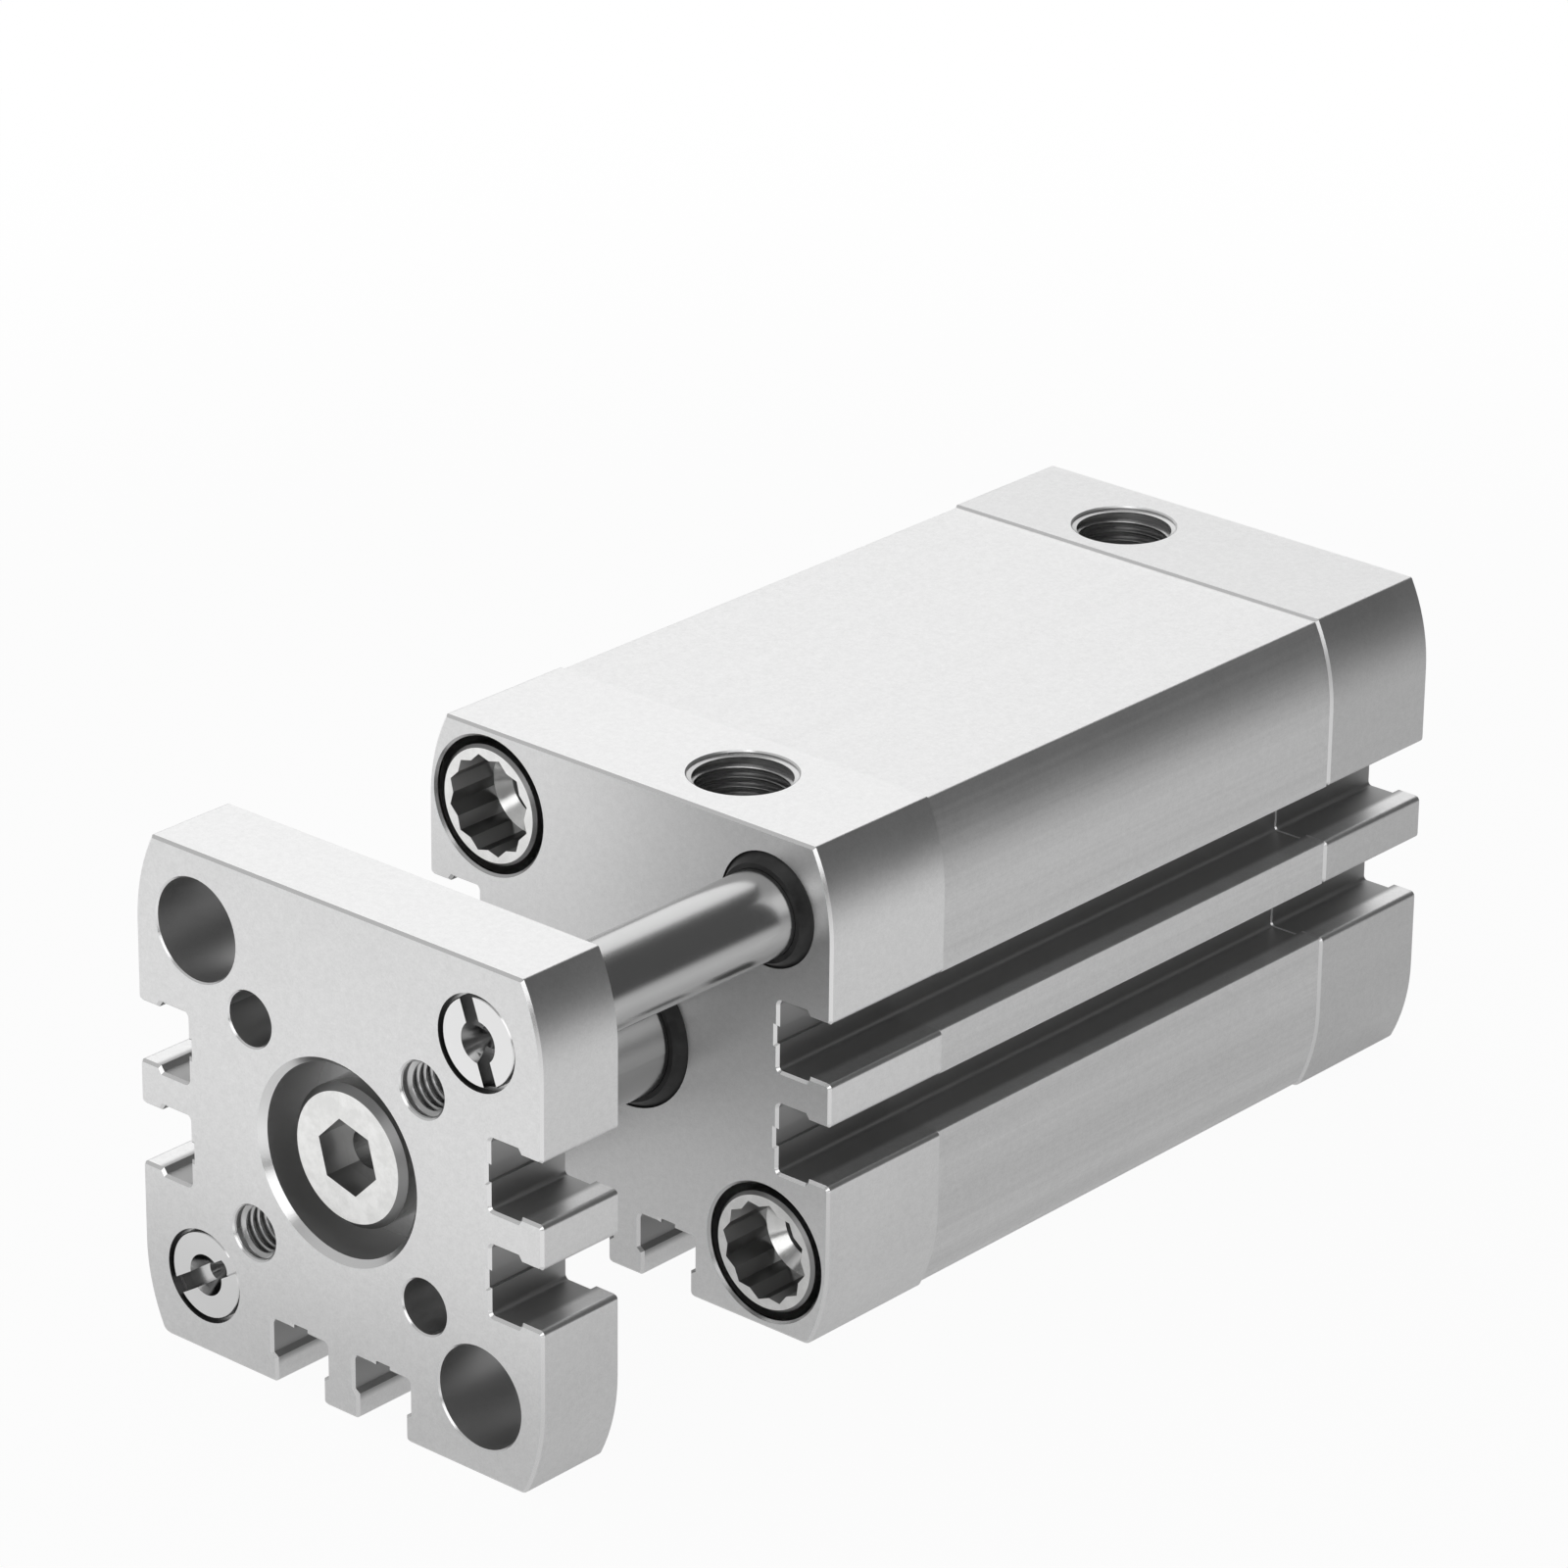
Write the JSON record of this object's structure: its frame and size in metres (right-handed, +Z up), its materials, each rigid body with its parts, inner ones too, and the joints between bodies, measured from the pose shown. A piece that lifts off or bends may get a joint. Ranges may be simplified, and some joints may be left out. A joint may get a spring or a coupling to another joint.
{
  "type": "guided pneumatic cylinder",
  "caption": "Compact square guided air cylinder with a piston rod, guide rods on a diagonal, a drilled yoke plate, air ports on top and T-slots along its sides.",
  "frame": {"origin": "middle of the rear mounting face, on the piston rod's axis", "axes": "+Y points back out of the rear face, the rod extends towards -Y, +Z is up through the air ports, +X is to the right seen from the yoke plate"},
  "size_m": [0.047, 0.1196, 0.047],
  "materials": {
    "anodised_body": "satin clear anodised",
    "anodised_plate": "satin clear anodised",
    "rod_steel": "ground and polished steel",
    "plated_screw": "bright zinc plated",
    "piston_metal": "machined",
    "bush_metal": "lined plain bearing",
    "black_rubber": "moulded",
    "magnet_compound": "bonded ferrite",
    "band_plastic": "filled bearing plastic"
  },
  "bodies": {
    "housing": {"bearing_cap": "anodised_body", "barrel": "anodised_body", "end_cap": "anodised_body", "rod_bush": "bush_metal", "rod_seal": "black_rubber", "front_cap_ring": "black_rubber", "rear_cap_ring": "black_rubber", "front_cushion": "black_rubber", "rear_cushion": "black_rubber", "guide_bush_upper": "bush_metal", "guide_bush_lower": "bush_metal", "guide_wiper_upper": "black_rubber", "guide_wiper_lower": "black_rubber", "front_screw_upper": "plated_screw", "front_screw_lower": "plated_screw", "rear_screw_upper": "plated_screw", "rear_screw_lower": "plated_screw"},
    "yoke": {"yoke_plate": "anodised_plate", "yoke_screw": "plated_screw", "piston_rod": "rod_steel", "piston_front_disc": "piston_metal", "piston_rear_disc": "piston_metal", "piston_seal_front": "black_rubber", "piston_seal_rear": "black_rubber", "magnet_ring": "magnet_compound", "guide_band": "band_plastic", "rod_static_ring": "black_rubber", "piston_screw": "plated_screw", "guide_rod_upper": "rod_steel", "guide_rod_lower": "rod_steel"}
  },
  "joints": [
    {"name": "rod_slide", "type": "slide", "parent": "housing", "child": "yoke", "axis": [0, -1, 0], "range_m": [-0.0203, 0.0197]}
  ]
}
